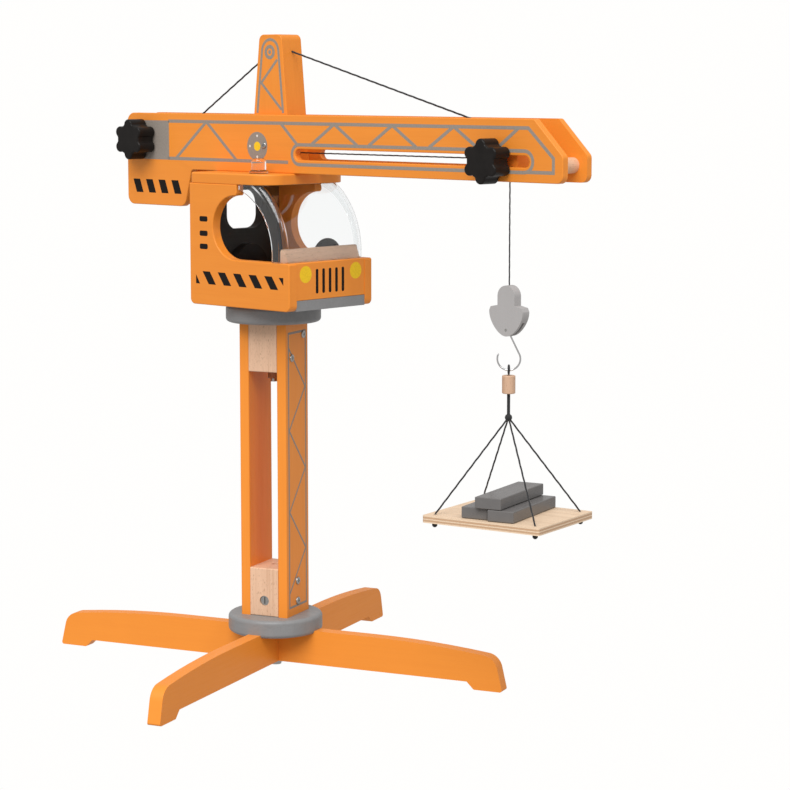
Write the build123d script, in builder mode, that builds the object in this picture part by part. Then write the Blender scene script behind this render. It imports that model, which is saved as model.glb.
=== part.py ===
"""Toy tower crane: cross base, plank tower, turning cab with a jib, winch, trolley, hook and hanging load.

Millimetres. +Z up, +X along the jib, origin on the slewing axis at the floor.
The base and tower stand turned by BASE_TURN under the cab, as the crane was left.
"""
import os
from math import cos, radians, sin, sqrt

from build123d import *

# ---- driving dimensions -------------------------------------------------------------------------
BASE_TURN = 18.4
PALLET_TURN = 9.8
PLANK_TURN = 5.0

LEG_LENGTH = 440.0
LEG_THICK = 12.0
LEG_TOP = 37.0
LEG_TIP = (7.0, 29.8)
LEG_UNDERSIDE = 6.5
FOOT_LENGTH = 26.5
DISC_RADIUS = 41.8
LOWER_DISC_Z = (34.0, 50.0)
TOWER_Z = (50.0, 310.4)
TOWER_SIDE = 44.0
TOWER_WIDTH = 45.4
TOWER_BOARD = 9.0
TOWER_BLOCK = 43.0
UPPER_DISC_Z = (310.4, 325.3)
BOLT_RADIUS = 3.0

CAB_X = (-51.7, 70.6)
CAB_HALF = 50.9
CAB_BOARD = 9.0
CAB_FLOOR_Z = (326.1, 335.0)
SILL_Z = 366.9
ROOF_Z = (431.6, 441.0)
ROOF_FRONT = 45.0
ARM_X = 7.2
WINDOW_CENTRE = (4.9, 394.5)
FAR_SHIFT = 2.6
WINDOW_RADIUS = WINDOW_CENTRE[1] - SILL_Z
REAR_WALL_X = -35.0
REAR_WINDOW_Z = 407.0
SHIELD_RADIUS = 72.0
SHIELD_CENTRE = (-7.0, 373.0)
SHIELD_WALL = 1.6
SHIELD_DEPTH = 15.0
SHIELD_BENDS = {-1: 6.0, 1: 12.0}
DASH_X = (52.8, 62.6)
DASH_TOP = 378.0
WHEEL = (45.9, 20.0, 367.2)
WHEEL_RADIUS = 17.0
WHEEL_THICK = 5.0
COLUMN_RADIUS = 2.0
SEAT_BACK_Z = 357.0

JIB_X = (-169.3, 336.6)
JIB_Z = (441.0, 490.6)
JIB_BOARD = 6.3
JIB_HALF = 18.35
SLOT_X = (45.9, 303.1)
SLOT_Z = 457.3
SLOT_HEIGHT = 9.4
NOSE_DOWEL = (322.6, 454.4)
NOSE_DOWEL_RADIUS = 6.3
COUNTERWEIGHT_Z = 408.0
MAST_HALF = 12.0
MAST_TOP = 559.0
MAST_FOOT_X = (-15.7, 34.5)
MAST_TOP_X = (-3.1, 23.6)

WINCH = (-147.0, 467.0)
DRUM_RADIUS = 8.0
TROLLEY_X = 268.6
TROLLEY_Z = (444.5, 472.0)
TROLLEY_LENGTH = 34.0
AXLE_RADIUS = 4.5
KNOB_RADIUS = 18.0
KNOB_THICK = 18.4
KNOB_HUB = 0.8
KNOB_BORE = 9.0
HOIST_LINE_Z = 458.2
HOIST_CORD = 0.65

HOOK_BLOCK_Z = (316.7, 357.7)
HOOK_BLOCK_THICK = 8.4
HOOK_PIN_Z = 321.8
HOOK_WIRE = 0.7
HOOK_BOWL_Z = 298.4
HOOK_BOWL_RADIUS = 9.3
HOOK_TWIST = 35.0

BEAD_Z = (270.3, 285.0)
BEAD_RADIUS = 5.4
KNOT_Z = 250.7
SLING_CORD = 0.8
STAY_ROPE = 0.85
PALLET_TOP = 172.3
PALLET_SIZE = (108.0, 90.0, 6.0)
SLING_HOLES = (93.0, 75.0)
PLANK_SIZE = (23.0, 83.0, 9.3)

GAP = 0.3
SEAM = 0.3
RUNNING = 0.05
JIB_INNER = JIB_HALF - JIB_BOARD
TOWER_CORE = TOWER_WIDTH - 2 * TOWER_BOARD

u = Vector(cos(radians(BASE_TURN)), sin(radians(BASE_TURN)), 0)
v = Vector(-sin(radians(BASE_TURN)), cos(radians(BASE_TURN)), 0)
base_plane = Plane(origin=(0, 0, 0), x_dir=u, z_dir=(0, 0, 1))
lengthways = Plane(origin=(0, 0, 0), x_dir=u, z_dir=v * -1)
crossways = Plane(origin=(0, 0, 0), x_dir=v, z_dir=u)
pallet_plane = Plane(
    origin=(TROLLEY_X, 0, PALLET_TOP),
    x_dir=(cos(radians(PALLET_TURN)), sin(radians(PALLET_TURN)), 0),
    z_dir=(0, 0, 1),
)
ON_BASE = (Align.CENTER, Align.CENTER, Align.MIN)

os.makedirs("parts", exist_ok=True)


def save(piece, name):
    """Label a finished piece and write its STEP file."""
    piece.label = name
    export_step(piece, f"parts/{name}.step")


def side_plane(y):
    """The upright X-Z plane at the given y, seen from the near side."""
    return Plane.XZ.offset(-y)


def rod(start, end, radius):
    """A straight round rod or tight cord between two points."""
    along = Vector(*end) - Vector(*start)
    with BuildPart(Plane(origin=start, z_dir=along)) as piece:
        Cylinder(radius, along.length, align=ON_BASE)
    return piece.part


def screw(head_radius, length, plane):
    """A dome-headed wood screw whose head seats on the plane and whose shank runs behind it."""
    with BuildPart(plane) as piece:
        Cylinder(head_radius, 1.2, align=ON_BASE)
        fillet(piece.edges().group_by(Axis(plane.origin, plane.z_dir))[-1], 0.8)
        with Locations((0, 0, 0.5)):
            Box(1.0, head_radius, 2, align=ON_BASE, mode=Mode.SUBTRACT)
            Box(head_radius, 1.0, 2, align=ON_BASE, mode=Mode.SUBTRACT)
        with Locations((0, 0, -length)):
            Cylinder(1.3, length, align=ON_BASE)
    return piece.part


# ---- cross base ---------------------------------------------------------------------------------
def leg(plane, lap_from_top):
    """One board of the crossed base: a foot at each end, a gently tapering top, half lapped."""
    half = LEG_LENGTH / 2
    foot_inner = half - FOOT_LENGTH
    tip = (half - LEG_TIP[0], LEG_TIP[1])
    with BuildPart() as board:
        with BuildSketch(plane):
            with BuildLine() as outline:
                Line((0, LEG_UNDERSIDE), (foot_inner - 6.5, LEG_UNDERSIDE))
                Line((foot_inner - 6.5, LEG_UNDERSIDE), (foot_inner, 0))
                Line((foot_inner, 0), (half, 0))
                Line((half, 0), tip)
                TangentArc((95, LEG_TOP), tip, tangent=(1, 0))
                Line((95, LEG_TOP), (0, LEG_TOP))
                mirror(about=Plane.YZ)
            make_face()
        extrude(amount=LEG_THICK / 2, both=True)
        ends = board.edges().filter_by(Axis(plane.origin, plane.z_dir))
        tips = ends.filter_by(lambda edge: abs(abs(plane.to_local_coords(edge.center()).X) - tip[0]) < 0.6)
        fillet(tips, 14)
        feet = board.edges().filter_by(Axis(plane.origin, plane.z_dir)).group_by(Axis.Z)[0]
        fillet(feet, 2)
        lap_middle = (LEG_UNDERSIDE + LEG_TOP) / 2
        lap_centre = lap_middle + 10 if lap_from_top else lap_middle - 10
        with BuildSketch(plane):
            with Locations((0, lap_centre)):
                Rectangle(LEG_THICK + 0.1, 20)
        extrude(amount=LEG_THICK, both=True, mode=Mode.SUBTRACT)
        Cylinder(BOLT_RADIUS + 0.2, 60, align=ON_BASE, mode=Mode.SUBTRACT)
    return board.part


save(leg(lengthways, True), "leg_lower")
save(leg(crossways, False), "leg_upper")


def disc(bottom, top):
    """A round wooden plate with eased rims and a hole for the middle bolt."""
    with BuildPart(Plane.XY.offset(bottom)) as plate:
        Cylinder(DISC_RADIUS, top - bottom, align=ON_BASE)
        fillet(plate.edges().filter_by(GeomType.CIRCLE), 3.5)
        Cylinder(BOLT_RADIUS + 0.2, 3 * (top - bottom), mode=Mode.SUBTRACT)
    return plate.part


with BuildPart() as lower_disc:
    add(disc(*LOWER_DISC_Z))
    with BuildSketch(base_plane.offset(LOWER_DISC_Z[0])):
        Rectangle(3 * DISC_RADIUS, LEG_THICK + 0.2)
        Rectangle(LEG_THICK + 0.2, 3 * DISC_RADIUS)
    extrude(amount=LEG_TOP - LOWER_DISC_Z[0], mode=Mode.SUBTRACT)
save(lower_disc.part, "lower_disc")
save(disc(*UPPER_DISC_Z), "upper_disc")

# ---- tower --------------------------------------------------------------------------------------
TOWER_SCREWS = ((12.0, 298.5), (-10.5, 279.7), (-1.0, 80.0), (-1.0, 62.0))
with BuildPart() as tower_screws:
    for side in (-1, 1):
        for across, height in TOWER_SCREWS:
            seat = u * (side * TOWER_WIDTH / 2) + v * across + Vector(0, 0, height)
            add(screw(3.4, 13.0, Plane(origin=seat, z_dir=u * side)))
save(tower_screws.part, "tower_screws")

tower_height = TOWER_Z[1] - TOWER_Z[0]
for name, side in (("tower_board_left", -1), ("tower_board_right", 1)):
    with BuildPart() as tower_board:
        with Locations(base_plane.offset(TOWER_Z[0])):
            with Locations((side * (TOWER_WIDTH - TOWER_BOARD) / 2, 0, 0)):
                Box(TOWER_BOARD, TOWER_SIDE, tower_height, align=ON_BASE)
        fillet(tower_board.edges().filter_by(Axis.Z), 1.2)
        add(tower_screws.part, mode=Mode.SUBTRACT)
    save(tower_board.part, name)

BARREL_Z = 63.8
BARREL_RADIUS = 4.4
BARREL_FACE = 20.5
with BuildPart() as tower_foot_block:
    with Locations(base_plane.offset(TOWER_Z[0])):
        Box(TOWER_CORE, TOWER_SIDE - 0.6, TOWER_BLOCK, align=ON_BASE)
    fillet(tower_foot_block.edges().filter_by(Axis(tower_foot_block.part.center(), u)), 1)
    Cylinder(BOLT_RADIUS + 0.2, 2 * TOWER_Z[1], mode=Mode.SUBTRACT)
    with BuildSketch(Plane(origin=v * -25 + Vector(0, 0, BARREL_Z), x_dir=u, z_dir=v)):
        Circle(BARREL_RADIUS + 0.1)
    extrude(amount=33, mode=Mode.SUBTRACT)
    add(tower_screws.part, mode=Mode.SUBTRACT)
save(tower_foot_block.part, "tower_foot_block")

with BuildPart() as tower_head_block:
    with Locations(base_plane.offset(TOWER_Z[1] - TOWER_BLOCK)):
        Box(TOWER_CORE, TOWER_SIDE - 0.6, TOWER_BLOCK, align=ON_BASE)
    fillet(tower_head_block.edges().filter_by(Axis(tower_head_block.part.center(), u)), 1)
    Cylinder(BOLT_RADIUS + 0.2, 3 * TOWER_Z[1], mode=Mode.SUBTRACT)
    add(tower_screws.part, mode=Mode.SUBTRACT)
save(tower_head_block.part, "tower_head_block")

with BuildPart() as barrel_nut:
    with BuildSketch(Plane(origin=v * -BARREL_FACE + Vector(0, 0, BARREL_Z), x_dir=u, z_dir=v)):
        Circle(BARREL_RADIUS)
    extrude(amount=BARREL_FACE + 7)
    Cylinder(BOLT_RADIUS, 100, align=ON_BASE, mode=Mode.SUBTRACT)
    with BuildSketch(Plane(origin=v * -BARREL_FACE + Vector(0, 0, BARREL_Z), x_dir=u, z_dir=v)):
        Rectangle(1.3, 6.2)
    extrude(amount=1.6, mode=Mode.SUBTRACT)
save(barrel_nut.part, "barrel_nut")


def bolt(head_z, tip_z, head_height):
    """A socket bolt on the slewing axis with a broad flange under its head; head_z is the flange's seat."""
    up = 1 if tip_z > head_z else -1
    with BuildPart(Plane(origin=(0, 0, head_z), z_dir=(0, 0, up))) as piece:
        Cylinder(BOLT_RADIUS, abs(tip_z - head_z), align=ON_BASE)
        with Locations((0, 0, -1.2)):
            Cylinder(8.0, 1.2, align=ON_BASE)
        with Locations((0, 0, -1.2 - head_height)):
            Cylinder(5.0, head_height, align=ON_BASE)
        with BuildSketch(Plane(origin=(0, 0, head_z - up * (1.2 + head_height)), z_dir=(0, 0, up))):
            RegularPolygon(2.4, 6)
        extrude(amount=head_height * 0.7, mode=Mode.SUBTRACT)
    return piece.part


save(bolt(LEG_UNDERSIDE, BARREL_Z + 9, 2.8), "base_bolt")
save(bolt(CAB_FLOOR_Z[1] + GAP, 257.0, 4.5), "slew_bolt")

slew_nut_z = TOWER_Z[1] - TOWER_BLOCK - 7.5
with BuildPart(Plane.XY.offset(slew_nut_z)) as slew_nut:
    with BuildSketch(Plane.XY.offset(slew_nut_z)):
        RegularPolygon(5.4, 6)
    extrude(amount=6.3)
    with Locations((0, 0, 6.3)):
        Cylinder(7.0, 1.2, align=ON_BASE)
    Cylinder(BOLT_RADIUS, 60, mode=Mode.SUBTRACT)
save(slew_nut.part, "slew_nut")

with BuildPart(Plane.XY.offset(UPPER_DISC_Z[1])) as glide_washer:
    Cylinder(20.0, CAB_FLOOR_Z[0] - GAP - UPPER_DISC_Z[1], align=ON_BASE)
    Cylinder(BOLT_RADIUS + 0.2, 10, mode=Mode.SUBTRACT)
save(glide_washer.part, "glide_washer")

# ---- cab ----------------------------------------------------------------------------------------
cab_inner = CAB_HALF - CAB_BOARD
with BuildPart() as cab_floor:
    with BuildSketch(Plane.XY.offset(CAB_FLOOR_Z[0])):
        with Locations(((CAB_X[1] - 0.4 + CAB_X[0] + 4.9) / 2, 0)):
            Rectangle(CAB_X[1] - 0.4 - CAB_X[0] - 4.9, 2 * cab_inner)
    extrude(amount=CAB_FLOOR_Z[1] - CAB_FLOOR_Z[0])
    Cylinder(BOLT_RADIUS + RUNNING, 2 * CAB_FLOOR_Z[1], mode=Mode.SUBTRACT)
save(cab_floor.part, "cab_floor")

arm_end_z = WINDOW_CENTRE[1] + sqrt(WINDOW_RADIUS**2 - (ARM_X - WINDOW_CENTRE[0]) ** 2)
for name, y, shift in (("cab_side_near", -CAB_HALF, 0), ("cab_side_far", cab_inner, FAR_SHIFT)):
    arm_x = ARM_X + shift
    window_x = WINDOW_CENTRE[0] + shift
    with BuildPart() as cab_side:
        with BuildSketch(side_plane(y)) as face:
            with BuildLine():
                Polyline(
                    (window_x, SILL_Z),
                    (CAB_X[1], SILL_Z),
                    (CAB_X[1], CAB_FLOOR_Z[0]),
                    (CAB_X[0], CAB_FLOOR_Z[0]),
                    (CAB_X[0], ROOF_Z[0]),
                    (arm_x, ROOF_Z[0]),
                    (arm_x, arm_end_z),
                )
                ThreePointArc(
                    (arm_x, arm_end_z),
                    (window_x - WINDOW_RADIUS, WINDOW_CENTRE[1]),
                    (window_x, SILL_Z),
                )
            make_face()
            fillet(face.vertices().sort_by_distance((arm_x, arm_end_z, 0))[0], 2.5)
            for corner_x in CAB_X:
                fillet(face.vertices().sort_by_distance((corner_x, CAB_FLOOR_Z[0], 0))[0], 5)
            fillet(face.vertices().sort_by_distance((CAB_X[1], SILL_Z, 0))[0], 2)
        extrude(amount=-CAB_BOARD)
        rims = cab_side.faces().sort_by(Axis.Y)
        outer = rims[0] if y < 0 else rims[-1]
        fillet(outer.edges(), 0.9)
    save(cab_side.part, name)

with BuildPart() as cab_front_panel:
    with BuildSketch(Plane.YZ.offset(CAB_X[1] - 0.4)):
        with Locations((0, (CAB_FLOOR_Z[1] + SEAM + SILL_Z) / 2)):
            Rectangle(2 * cab_inner, SILL_Z - CAB_FLOOR_Z[1] - SEAM)
    extrude(amount=-CAB_BOARD)
    top = cab_front_panel.faces().sort_by(Axis.Z)[-1]
    fillet(top.edges().filter_by(Axis.Y), 0.9)
save(cab_front_panel.part, "cab_front_panel")

with BuildPart() as cab_rear_wall:
    with BuildSketch(Plane.YZ.offset(REAR_WALL_X)):
        with Locations((0, (CAB_FLOOR_Z[1] + ROOF_Z[0]) / 2)):
            Rectangle(2 * cab_inner, ROOF_Z[0] - CAB_FLOOR_Z[1])
        with Locations((0, REAR_WINDOW_Z)):
            RectangleRounded(43.7, 34, 12, mode=Mode.SUBTRACT)
    extrude(amount=-CAB_BOARD)
save(cab_rear_wall.part, "cab_rear_wall")

with BuildPart() as roof:
    with BuildSketch(Plane.XY.offset(ROOF_Z[0])) as slab:
        with Locations(((CAB_X[0] + ROOF_FRONT) / 2, 0)):
            Rectangle(ROOF_FRONT - CAB_X[0], 2 * CAB_HALF)
        fillet(slab.vertices().group_by(Axis.X)[-1], 20)
        fillet(slab.vertices().group_by(Axis.X)[0], 5)
    extrude(amount=ROOF_Z[1] - ROOF_Z[0])
    fillet(roof.edges().group_by(Axis.Z)[-1], 1.6)
    fillet(roof.edges().group_by(Axis.Z)[0], 0.8)
save(roof.part, "roof")

# The screen is one bent sheet: a bowed front, a deep flange along each side and one under the roof.
shield_foot = SILL_Z + 0.1
shield_height = ROOF_Z[0] - shield_foot
SHIELD_TOP_X = 34.4


def bowed_shell(radius, depth, half_width, thinner, spare):
    """A bowed slab of the screen's side shape, with its two long front edges rounded."""
    rear = ARM_X + FAR_SHIFT + 0.5 - spare
    with BuildPart() as shell:
        with BuildSketch(side_plane(-half_width)):
            with Locations(SHIELD_CENTRE):
                Circle(radius)
                Circle(radius - depth, mode=Mode.SUBTRACT)
            with Locations((rear + radius / 2, shield_foot + shield_height / 2)):
                Rectangle(radius, shield_height + 2 * spare, mode=Mode.INTERSECT)
        extrude(amount=-2 * half_width)
        for side, bend in SHIELD_BENDS.items():
            bows = shell.edges().filter_by(GeomType.CIRCLE).filter_by(lambda edge: abs(edge.radius - radius) < 0.1)
            fillet(bows.filter_by(lambda edge: edge.center().Y * side > half_width - 1), bend - thinner)
    return shell.part


shield_outer = bowed_shell(SHIELD_RADIUS, SHIELD_DEPTH, CAB_HALF, 0, 0)
shield_inner = bowed_shell(
    SHIELD_RADIUS - SHIELD_WALL,
    SHIELD_DEPTH + 4,
    CAB_HALF - SHIELD_WALL,
    SHIELD_WALL,
    3,
)
with BuildPart() as windshield:
    add(shield_outer)
    add(shield_inner, mode=Mode.SUBTRACT)
    with BuildSketch(Plane.XY.offset(ROOF_Z[0] - SHIELD_WALL)):
        with Locations(((ARM_X + FAR_SHIFT + 3 + SHIELD_TOP_X) / 2, 0)):
            Rectangle(SHIELD_TOP_X - ARM_X - FAR_SHIFT - 3, 2 * (CAB_HALF - SHIELD_BENDS[1]))
    extrude(amount=SHIELD_WALL)
save(windshield.part, "windshield")

with BuildPart() as dashboard:
    with BuildSketch(side_plane(-44)) as dash_profile:
        with BuildLine():
            Polyline(
                (DASH_X[0], SILL_Z + 0.1),
                (DASH_X[1], SILL_Z + 0.1),
                (DASH_X[1] - 4.6, DASH_TOP),
                (DASH_X[0], DASH_TOP),
                close=True,
            )
        make_face()
        fillet(dash_profile.vertices().group_by(Axis.Y)[-1], 1.8)
    extrude(amount=-88)
    with BuildSketch(Plane.YZ.offset(DASH_X[0] - 10)):
        with Locations(WHEEL[1:]):
            Circle(COLUMN_RADIUS)
    extrude(amount=15, mode=Mode.SUBTRACT)
save(dashboard.part, "dashboard")

seat_back_x = REAR_WALL_X + 0.1
with BuildPart() as seat:
    with BuildSketch(Plane.YZ.offset(seat_back_x)):
        with Locations((0, SEAT_BACK_Z - 11.5)):
            Rectangle(40, 23)
        with Locations((0, SEAT_BACK_Z)):
            Circle(20)
    extrude(amount=8)
    with BuildSketch(Plane.XY.offset(CAB_FLOOR_Z[1])):
        with Locations((seat_back_x + 13, 0)):
            RectangleRounded(26, 40, 4)
    extrude(amount=15)
    with BuildSketch(Plane.XY.offset(CAB_FLOOR_Z[1] - 30)):
        with Locations((seat_back_x + 10, 0)):
            Rectangle(60, 60)
    extrude(amount=30, mode=Mode.SUBTRACT)
save(seat.part, "seat")

BEACON = (18.5, -34.8)
with BuildPart(Plane.XY.offset(ROOF_Z[1])) as beacon:
    with Locations((*BEACON, 0)):
        Cylinder(8.2, 2.4, align=ON_BASE)
    with Locations((*BEACON, 2.4)):
        Cylinder(6.4, 10.6, align=ON_BASE)
    fillet(beacon.edges().group_by(Axis.Z)[-1], 3.2)
    fillet(beacon.edges().group_by(Axis.Z)[2], 0.6)
save(beacon.part, "beacon")

save(rod((DASH_X[0] + 5, *WHEEL[1:]), (WHEEL[0] - 2, *WHEEL[1:]), COLUMN_RADIUS), "steering_column")
with BuildPart(Plane.YZ.offset(WHEEL[0] - WHEEL_THICK / 2)) as steering_wheel:
    with Locations((*WHEEL[1:], 0)):
        Cylinder(WHEEL_RADIUS, WHEEL_THICK, align=ON_BASE)
    fillet(steering_wheel.edges().filter_by(GeomType.CIRCLE), 2)
    with Locations((*WHEEL[1:], 0)):
        Cylinder(COLUMN_RADIUS + RUNNING, 20, mode=Mode.SUBTRACT)
save(steering_wheel.part, "steering_wheel")

# ---- jib ----------------------------------------------------------------------------------------
lobe_front = -84.0
nose_chamfer = (307.7, 462.2)


def jib_outline():
    """The jib's side shape: a long board, chamfered at the nose, with a deep lobe at the tail."""
    with BuildSketch(side_plane(0)) as shape:
        with BuildLine():
            Polyline(
                (JIB_X[0], COUNTERWEIGHT_Z),
                (lobe_front - 9, COUNTERWEIGHT_Z),
                (lobe_front, JIB_Z[0]),
                (JIB_X[1], JIB_Z[0]),
                (JIB_X[1], nose_chamfer[1]),
                (nose_chamfer[0], JIB_Z[1]),
                (JIB_X[0], JIB_Z[1]),
                close=True,
            )
        make_face()
        rounding = (
            (JIB_X[0], COUNTERWEIGHT_Z, 8),
            (lobe_front - 9, COUNTERWEIGHT_Z, 8),
            (JIB_X[0], JIB_Z[1], 9),
            (JIB_X[1], JIB_Z[0], 6),
            (JIB_X[1], nose_chamfer[1], 5),
            (nose_chamfer[0], JIB_Z[1], 3),
            (lobe_front, JIB_Z[0], 4),
        )
        for x, z, radius in rounding:
            fillet(shape.vertices().sort_by_distance((x, z, 0))[0], radius)
        with Locations(((SLOT_X[0] + SLOT_X[1]) / 2, SLOT_Z)):
            SlotOverall(SLOT_X[1] - SLOT_X[0], SLOT_HEIGHT, mode=Mode.SUBTRACT)
        with Locations(WINCH):
            Circle(4 + RUNNING, mode=Mode.SUBTRACT)
    return shape.sketch


with BuildPart() as jib_screws:
    for side in (-1, 1):
        add(screw(2.6, 14.0, Plane(origin=(8.5, side * JIB_HALF, 464.4), z_dir=(0, side, 0))))
save(jib_screws.part, "jib_screws")

outline = jib_outline()
for name, y in (("jib_board_near", -JIB_HALF), ("jib_board_far", JIB_INNER)):
    with BuildPart() as jib_board:
        extrude(outline.moved(Location((0, y, 0))), amount=JIB_BOARD, dir=(0, 1, 0))
        outer = jib_board.faces().sort_by(Axis.Y)[0 if y < 0 else -1]
        fillet(outer.edges().filter_by(lambda edge: edge.center().X > WINCH[0] + 5 or edge.length > 30), 0.8)
        add(jib_screws.part, mode=Mode.SUBTRACT)
    save(jib_board.part, name)

rope_rear = (Vector(-99.0, 0, 483.3), Vector(3.0, 0, 546.6))
rope_front = (Vector(243.0, 0, 485.6), Vector(18.0, 0, 546.2))
with BuildPart() as mast:
    with BuildSketch(side_plane(-MAST_HALF)) as face:
        with BuildLine():
            Polyline(
                (MAST_FOOT_X[0], JIB_Z[0]),
                (MAST_FOOT_X[1], JIB_Z[0]),
                (MAST_TOP_X[1], MAST_TOP),
                (MAST_TOP_X[0], MAST_TOP),
                close=True,
            )
        make_face()
        fillet(face.vertices().group_by(Axis.Y)[-1], 5.5)
    extrude(amount=-2 * MAST_HALF)
    upright = mast.faces().filter_by(Plane.XZ).edges()
    fillet(upright.filter_by(lambda edge: edge.center().Z > JIB_Z[0] + 1), 0.8)
    with BuildSketch(Plane.YZ.offset(-40)):
        with Locations((0, HOIST_LINE_Z)):
            Circle(2)
    extrude(amount=120, mode=Mode.SUBTRACT)
    for anchor, inside in (rope_rear, rope_front):
        with BuildSketch(Plane(origin=inside, z_dir=anchor - inside)):
            Circle(STAY_ROPE + 0.05)
        extrude(amount=40, mode=Mode.SUBTRACT)
    add(jib_screws.part, mode=Mode.SUBTRACT)
save(mast.part, "mast")

STAY_PIN = 3.0
save(rod(rope_rear[0], rope_rear[1], STAY_ROPE), "stay_rope_rear")
save(rod(rope_front[0], rope_front[1], STAY_ROPE), "stay_rope_front")
with BuildPart() as stay_pins:
    for anchor, tip in (rope_rear, rope_front):
        away = (anchor - tip).normalized() * STAY_PIN
        centre = anchor + away
        with BuildSketch(side_plane(JIB_INNER)):
            with Locations((centre.X, centre.Z)):
                Circle(STAY_PIN)
        extrude(amount=2 * JIB_INNER)
save(stay_pins.part, "stay_pins")

with BuildPart() as counterweight_block:
    with BuildSketch(side_plane(JIB_INNER)):
        with Locations(((JIB_X[0] + lobe_front - 9) / 2, COUNTERWEIGHT_Z + 17)):
            RectangleRounded(64, 30, 3)
    extrude(amount=2 * JIB_INNER)
save(counterweight_block.part, "counterweight_block")

with BuildPart() as nose_dowel:
    with BuildSketch(side_plane(JIB_INNER)):
        with Locations(NOSE_DOWEL):
            Circle(NOSE_DOWEL_RADIUS)
    extrude(amount=2 * JIB_INNER)
save(nose_dowel.part, "nose_dowel")

# ---- winch and trolley --------------------------------------------------------------------------
def knob(centre_x, centre_z, bore):
    """A six-lobed star knob standing off the near side of the jib, with a blind bore for its axle."""
    back = -JIB_HALF - GAP
    with BuildPart() as grip:
        with BuildSketch(side_plane(back - KNOB_HUB)) as star:
            with Locations((centre_x, centre_z)):
                Circle(KNOB_RADIUS - 4.2)
                with PolarLocations(KNOB_RADIUS - 5, 6, start_angle=30):
                    Circle(5)
            necks = star.vertices()
            fillet(necks, 2.2)
        extrude(amount=KNOB_THICK)
        fillet(grip.edges().group_by(Axis.Y)[0], 1.6)
        fillet(grip.edges().group_by(Axis.Y)[-1], 1.0)
        with BuildSketch(side_plane(back)):
            with Locations((centre_x, centre_z)):
                Circle(7.5)
        extrude(amount=KNOB_HUB)
        with BuildSketch(side_plane(back)):
            with Locations((centre_x, centre_z)):
                Circle(bore)
        extrude(amount=KNOB_HUB + KNOB_BORE, mode=Mode.SUBTRACT)
    return grip.part


def axle(centre_x, centre_z, radius):
    """A round axle from inside the knob, across both boards, into the end cap."""
    with BuildPart() as shaft:
        with BuildSketch(side_plane(-JIB_HALF - GAP - KNOB_HUB - KNOB_BORE)):
            with Locations((centre_x, centre_z)):
                Circle(radius)
        extrude(amount=-(2 * JIB_HALF + 2 * GAP + KNOB_HUB + KNOB_BORE + 3))
    return shaft.part


def end_cap(centre_x, centre_z, bore):
    """A domed button that closes the far end of an axle."""
    with BuildPart() as button:
        with BuildSketch(side_plane(JIB_HALF + GAP)):
            with Locations((centre_x, centre_z)):
                Circle(8.5)
        extrude(amount=-5)
        fillet(button.edges().group_by(Axis.Y)[-1], 3)
        with BuildSketch(side_plane(JIB_HALF + GAP)):
            with Locations((centre_x, centre_z)):
                Circle(bore)
        extrude(amount=-3, mode=Mode.SUBTRACT)
    return button.part


save(knob(*WINCH, 4.0), "winch_knob")
save(axle(*WINCH, 4.0), "winch_axle")
save(end_cap(*WINCH, 4.0), "winch_cap")

with BuildPart() as winch_drum:
    drum_half = JIB_INNER - 0.4
    with BuildSketch(side_plane(-drum_half)):
        with Locations(WINCH):
            Circle(DRUM_RADIUS)
    extrude(amount=-2 * drum_half)
    for y in (-drum_half, drum_half - 2):
        with BuildSketch(side_plane(y)):
            with Locations(WINCH):
                Circle(15)
        extrude(amount=-2)
    with BuildSketch(side_plane(-drum_half)):
        with Locations(WINCH):
            Circle(4)
    extrude(amount=-2 * drum_half, mode=Mode.SUBTRACT)
save(winch_drum.part, "winch_drum")

trolley_half = JIB_INNER - 0.35
trolley_rear = TROLLEY_X - TROLLEY_LENGTH / 2
with BuildPart() as trolley_block:
    with BuildSketch(side_plane(-trolley_half)):
        with Locations((TROLLEY_X, (TROLLEY_Z[0] + TROLLEY_Z[1]) / 2)):
            RectangleRounded(TROLLEY_LENGTH, TROLLEY_Z[1] - TROLLEY_Z[0], 2)
        with Locations((TROLLEY_X, SLOT_Z)):
            Circle(AXLE_RADIUS + RUNNING, mode=Mode.SUBTRACT)
    extrude(amount=-2 * trolley_half)
    with BuildSketch(Plane.YZ.offset(trolley_rear)):
        with Locations((0, HOIST_LINE_Z)):
            Circle(2)
    extrude(amount=8, mode=Mode.SUBTRACT)
    duct = (Vector(trolley_rear + 7, 0, HOIST_LINE_Z), Vector(TROLLEY_X, 0, TROLLEY_Z[0] + 2))
    with BuildSketch(Plane(origin=duct[0], z_dir=duct[1] - duct[0])):
        Circle(1.6)
    extrude(amount=(duct[1] - duct[0]).length, mode=Mode.SUBTRACT)
    with BuildSketch(Plane.XY.offset(TROLLEY_Z[0])):
        with Locations((TROLLEY_X, 0)):
            Circle(1.8)
    extrude(amount=3.5, mode=Mode.SUBTRACT)
save(trolley_block.part, "trolley_block")

save(knob(TROLLEY_X, SLOT_Z, AXLE_RADIUS), "trolley_knob")
save(axle(TROLLEY_X, SLOT_Z, AXLE_RADIUS), "trolley_axle")
save(end_cap(TROLLEY_X, SLOT_Z, AXLE_RADIUS), "trolley_cap")

save(rod((WINCH[0], 0, HOIST_LINE_Z), (trolley_rear + 4, 0, HOIST_LINE_Z), HOIST_CORD), "hoist_run")
save(rod((TROLLEY_X, 0, HOOK_BLOCK_Z[1]), (TROLLEY_X, 0, TROLLEY_Z[0] + 1), HOIST_CORD), "hoist_fall")

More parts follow.
